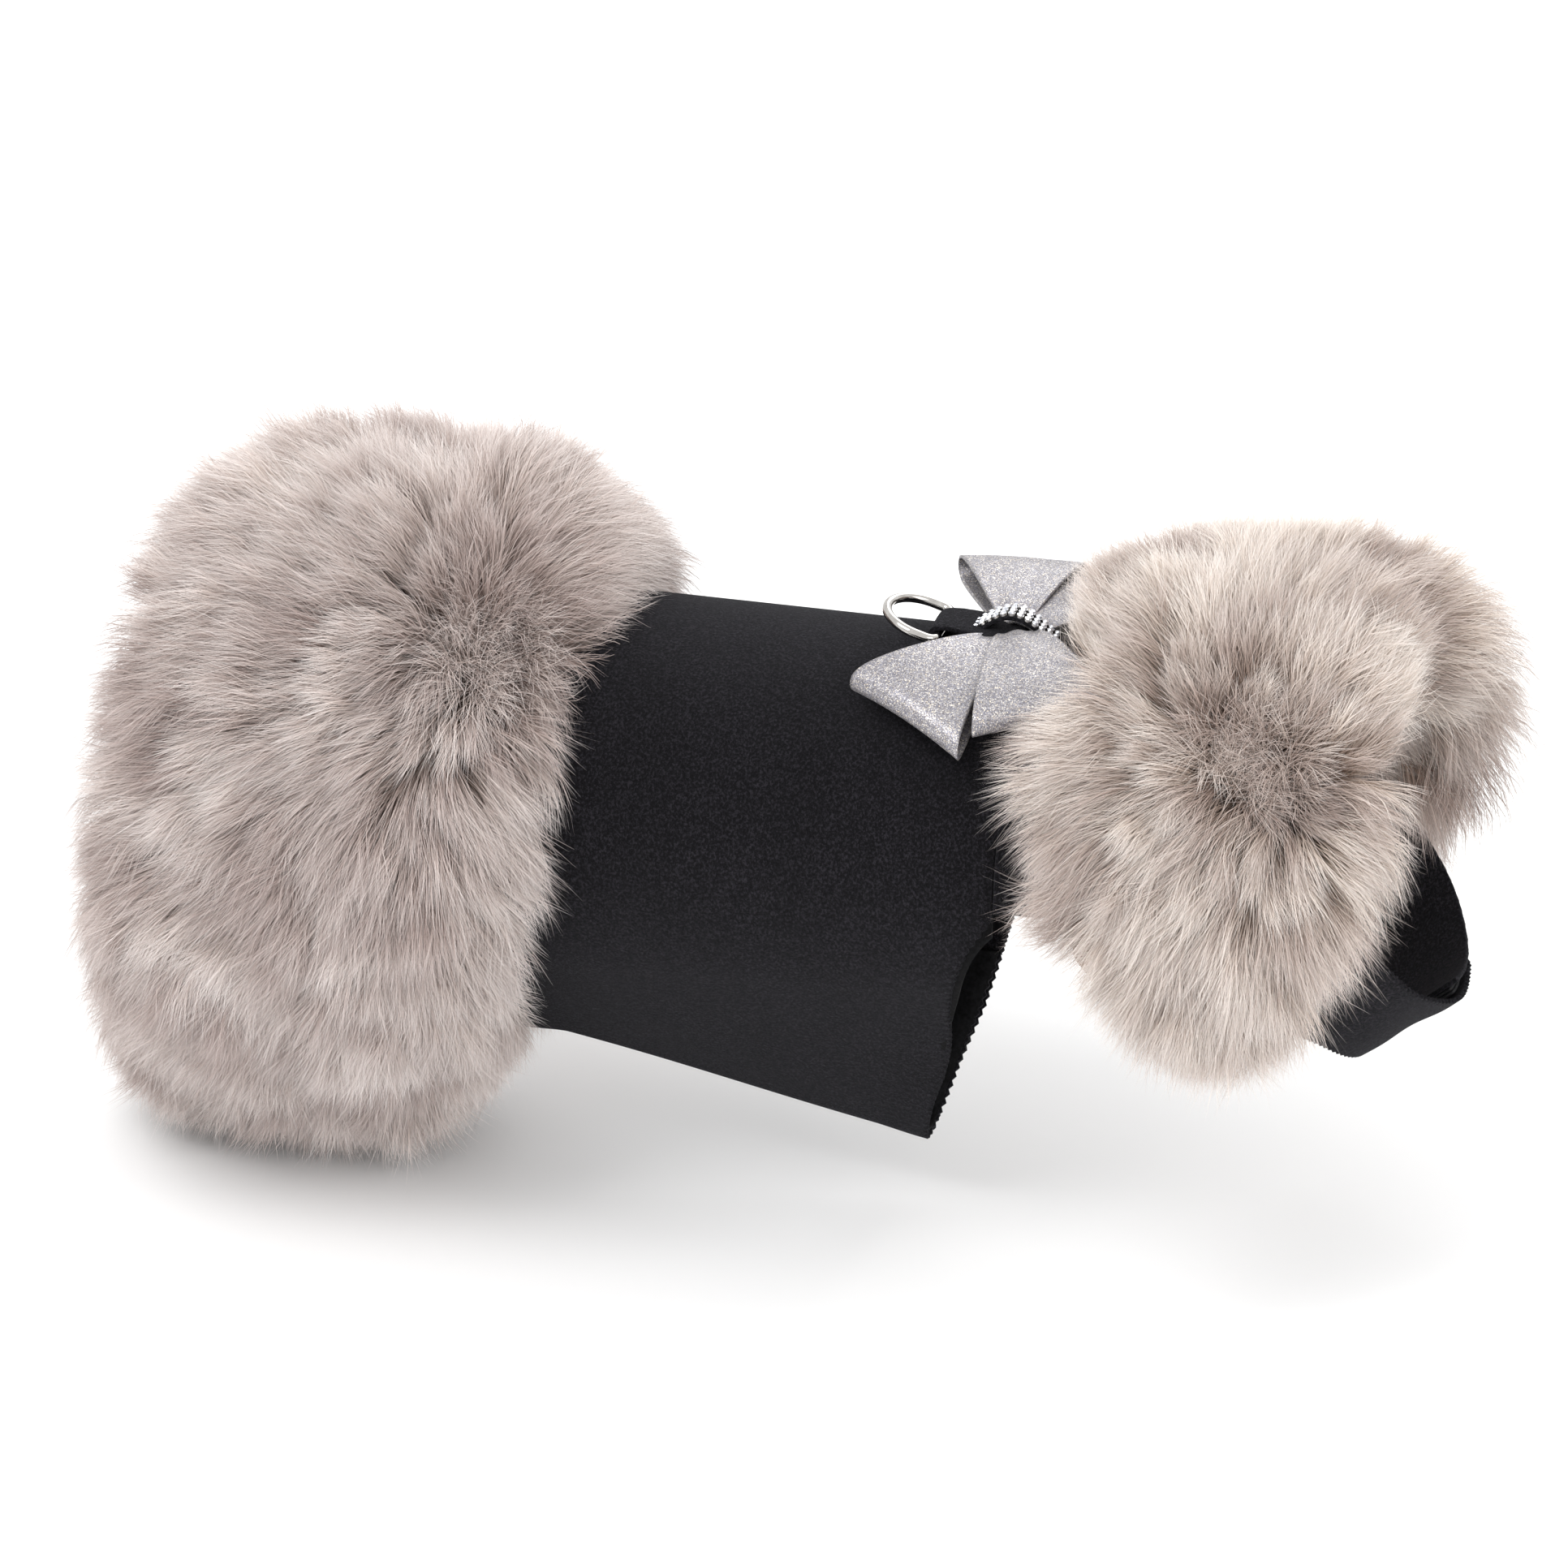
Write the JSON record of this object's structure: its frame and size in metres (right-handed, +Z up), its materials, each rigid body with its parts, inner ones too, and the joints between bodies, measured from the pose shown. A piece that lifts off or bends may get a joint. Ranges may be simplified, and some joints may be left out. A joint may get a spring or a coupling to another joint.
{
  "type": "small dog coat with fur trim",
  "caption": "Small dog's suede coat with a fur hem band and collar, a leash ring on the back, a crystal-banded bow and touch-fastened belly and chest straps.",
  "frame": {"origin": "on the dog's back, where the lining lies on it halfway along the back panel", "axes": "+X along the back towards the head, +Y to the wearer's left, +Z up"},
  "size_m": [0.3942, 0.17, 0.1963],
  "materials": {
    "suede": "short brushed black pile",
    "lining": "smooth black knit",
    "fur": "long greige pile with pale tips",
    "fur_backing": "tan knit",
    "ribbon": "silver glitter",
    "ring_metal": "polished nickel",
    "cup_metal": "bright plated",
    "crystal": "cut and clear",
    "fastener": "black touch fastener",
    "webbing": "woven black tape"
  },
  "bodies": {
    "coat": {"back_panel": "suede", "body_lining": "lining", "neck_yoke": "suede", "yoke_lining": "lining", "hem_fur_backing": "fur_backing", "hem_fur_pile": "fur", "collar_fur_backing": "fur_backing", "collar_fur_pile": "fur", "ring_tab": "suede", "ring_anchor_web": "webbing", "bow_loop_right_rear": "ribbon", "bow_loop_right_front": "ribbon", "bow_loop_left_rear": "ribbon", "bow_loop_left_front": "ribbon", "crystal_band": "suede", "crystal_cups": "cup_metal", "crystals": "crystal", "chest_strap_left": "suede", "chest_loop_strip": "fastener", "chest_strap_root": "suede", "belly_flap_seam": "suede", "belly_loop_strip": "fastener"},
    "leash_ring": {"leash_ring": "ring_metal"},
    "chest_tab": {"chest_strap_tab": "suede", "chest_hook_strip": "fastener"},
    "belly_flap": {"belly_flap": "suede", "belly_hook_strip": "fastener"}
  },
  "joints": [
    {"name": "ring_swing", "type": "hinge", "parent": "coat", "child": "leash_ring", "pos_m": [0.0945, 0, 0.0066], "axis": [0, 1, 0], "range_deg": [0, 100]},
    {"name": "chest_tab_open", "type": "hinge", "parent": "coat", "child": "chest_tab", "pos_m": [0.2207, -0.03537, -0.08034], "axis": [-0.788, 0, -0.6157], "range_deg": [0, 95]},
    {"name": "belly_flap_open", "type": "hinge", "parent": "coat", "child": "belly_flap", "pos_m": [0.0655, 0.0462, -0.0938], "axis": [1, 0, 0], "range_deg": [0, 110]}
  ]
}
